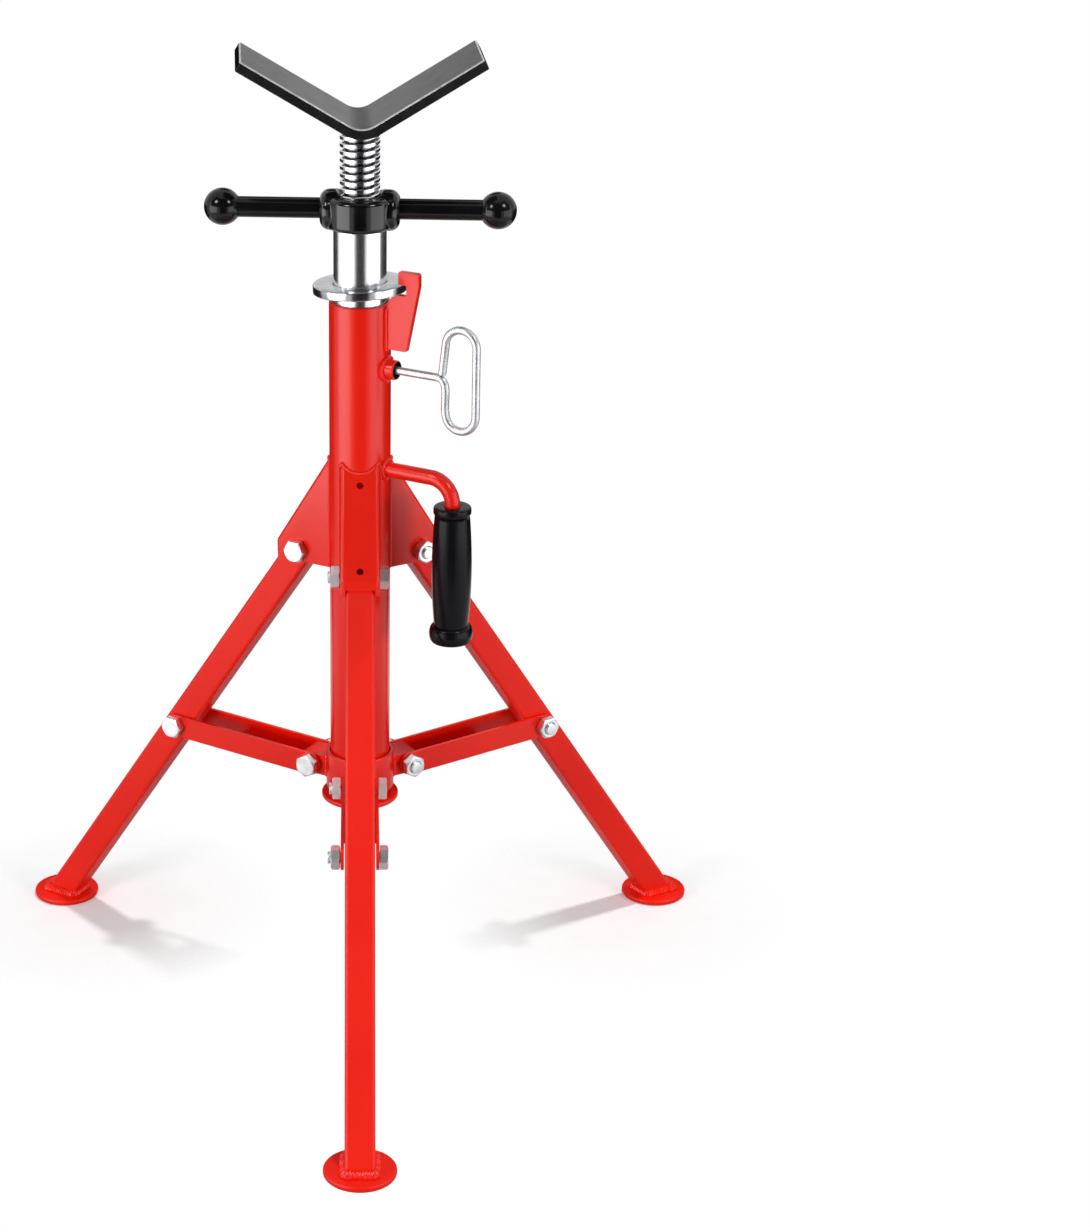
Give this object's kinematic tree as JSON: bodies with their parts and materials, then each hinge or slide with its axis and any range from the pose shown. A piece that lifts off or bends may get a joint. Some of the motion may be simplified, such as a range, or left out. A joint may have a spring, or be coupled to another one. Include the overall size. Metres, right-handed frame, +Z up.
{
  "type": "v-head pipe stand",
  "caption": "Folding tripod pipe stand: a V head on a jack screw, a sliding clamped mast, square-tube legs tied by braces to a sliding collar, and a carry handle.",
  "frame": {"origin": "on the floor, in the middle of the stand's footprint", "axes": "+Z up the mast, -Y towards the front leg, +X to the right as seen from the front"},
  "size_m": [0.6012, 0.5288, 0.812],
  "materials": {
    "red_paint": "gloss powder coat",
    "zinc": "bright zinc plate",
    "black_oxide": "satin black oxide",
    "black_gloss": "gloss black paint",
    "rubber": "matt moulded rubber"
  },
  "bodies": {
    "frame": {"outer_tube": "red_paint", "stop_disc": "red_paint", "ring_keeper": "red_paint", "clamp_boss": "red_paint", "leg_bracket_front": "red_paint", "leg_bracket_right": "red_paint", "leg_bracket_left": "red_paint", "carry_handle": "red_paint", "handle_grip": "rubber", "leg_bolt_front": "zinc", "leg_bolt_right": "zinc", "leg_bolt_left": "zinc", "leg_nut_front": "zinc", "leg_nut_right": "zinc", "leg_nut_left": "zinc"},
    "front_leg": {"leg_front": "red_paint", "foot_front": "red_paint"},
    "right_leg": {"leg_right": "red_paint", "foot_right": "red_paint"},
    "left_leg": {"leg_left": "red_paint", "foot_left": "red_paint"},
    "sliding_collar": {"collar": "red_paint", "collar_lug_front": "red_paint", "collar_lug_right": "red_paint", "collar_lug_left": "red_paint", "collar_boss": "red_paint", "collar_bolt_front": "zinc", "collar_bolt_right": "zinc", "collar_bolt_left": "zinc", "collar_nut_front": "zinc", "collar_nut_right": "zinc", "collar_nut_left": "zinc"},
    "front_brace": {"brace_front": "red_paint", "brace_bolt_front": "zinc", "brace_nut_front": "zinc"},
    "right_brace": {"brace_right": "red_paint", "brace_bolt_right": "zinc", "brace_nut_right": "zinc"},
    "left_brace": {"brace_left": "red_paint", "brace_bolt_left": "zinc", "brace_nut_left": "zinc"},
    "collar_clamp": {"collar_screw": "zinc"},
    "mast": {"inner_tube": "zinc"},
    "nut_handle": {"jack_nut": "black_gloss", "nut_bar_right": "black_gloss", "nut_bar_left": "black_gloss", "ball_knob_right": "black_gloss", "ball_knob_left": "black_gloss"},
    "lifting_head": {"jack_screw": "zinc", "v_head": "black_oxide"},
    "mast_clamp": {"clamp_screw": "zinc"},
    "ring": {"safety_ring": "zinc"}
  },
  "joints": [
    {"name": "leg_front_fold", "type": "hinge", "parent": "frame", "child": "front_leg", "pos_m": [0, 0.02746, 0.39465], "axis": [1, 0, 0], "range_deg": [0, 26]},
    {"name": "leg_right_fold", "type": "hinge", "parent": "frame", "child": "right_leg", "pos_m": [0.04417, 0.10396, 0.39465], "axis": [-0.5, 0.866, 0], "range_deg": [0, 26]},
    {"name": "leg_left_fold", "type": "hinge", "parent": "frame", "child": "left_leg", "pos_m": [-0.04417, 0.10396, 0.39465], "axis": [-0.5, -0.866, 0], "range_deg": [0, 26]},
    {"name": "collar_slide", "type": "slide", "parent": "frame", "child": "sliding_collar", "axis": [0, 0, 1], "range_m": [0, 0.0992]},
    {"name": "brace_front_fold", "type": "hinge", "parent": "sliding_collar", "child": "front_brace", "pos_m": [0, 0.03705, 0.20065], "axis": [1, 0, 0], "range_deg": [0, 74.6]},
    {"name": "brace_right_fold", "type": "hinge", "parent": "sliding_collar", "child": "right_brace", "pos_m": [0.03585, 0.09915, 0.20065], "axis": [-0.5, 0.866, 0], "range_deg": [0, 74.6]},
    {"name": "brace_left_fold", "type": "hinge", "parent": "sliding_collar", "child": "left_brace", "pos_m": [-0.03585, 0.09915, 0.20065], "axis": [-0.5, -0.866, 0], "range_deg": [0, 74.6]},
    {"name": "collar_screw_turn", "type": "hinge", "parent": "sliding_collar", "child": "collar_clamp", "pos_m": [0, 0.14295, 0.20255], "axis": [0, 1, 0], "range_deg": [0, 720]},
    {"name": "mast_lift", "type": "slide", "parent": "frame", "child": "mast", "axis": [0, 0, 1], "range_m": [0, 0.34]},
    {"name": "handle_turn", "type": "hinge", "parent": "mast", "child": "nut_handle", "pos_m": [0, 0.07845, 0.68735], "axis": [0, 0, 1], "range_deg": [-4320, 2880]},
    {"name": "screw_lift", "type": "slide", "parent": "mast", "child": "lifting_head", "axis": [0, 0, 1], "range_m": [-0.0481, 0.0721]},
    {"name": "clamp_screw_turn", "type": "hinge", "parent": "frame", "child": "mast_clamp", "pos_m": [0.07967, 0.03245, 0.55905], "axis": [0.866, -0.5, 0], "range_deg": [0, 720]},
    {"name": "ring_tilt", "type": "hinge", "parent": "frame", "child": "ring", "pos_m": [0.03274, 0.05955, 0.62635], "axis": [0.5, 0.866, 0], "range_deg": [0, 3.5]}
  ],
  "couplings": [
    {"joint": "leg_right_fold", "follows": "leg_front_fold", "ratio": 1},
    {"joint": "leg_left_fold", "follows": "leg_front_fold", "ratio": 1},
    {"joint": "collar_slide", "follows": "leg_front_fold", "m_per_rad": 0.21823},
    {"joint": "brace_front_fold", "follows": "leg_front_fold", "ratio": 2.8671},
    {"joint": "brace_right_fold", "follows": "leg_front_fold", "ratio": 2.8671},
    {"joint": "brace_left_fold", "follows": "leg_front_fold", "ratio": 2.8671},
    {"joint": "screw_lift", "follows": "handle_turn", "m_per_rad": -0.00095493}
  ]
}
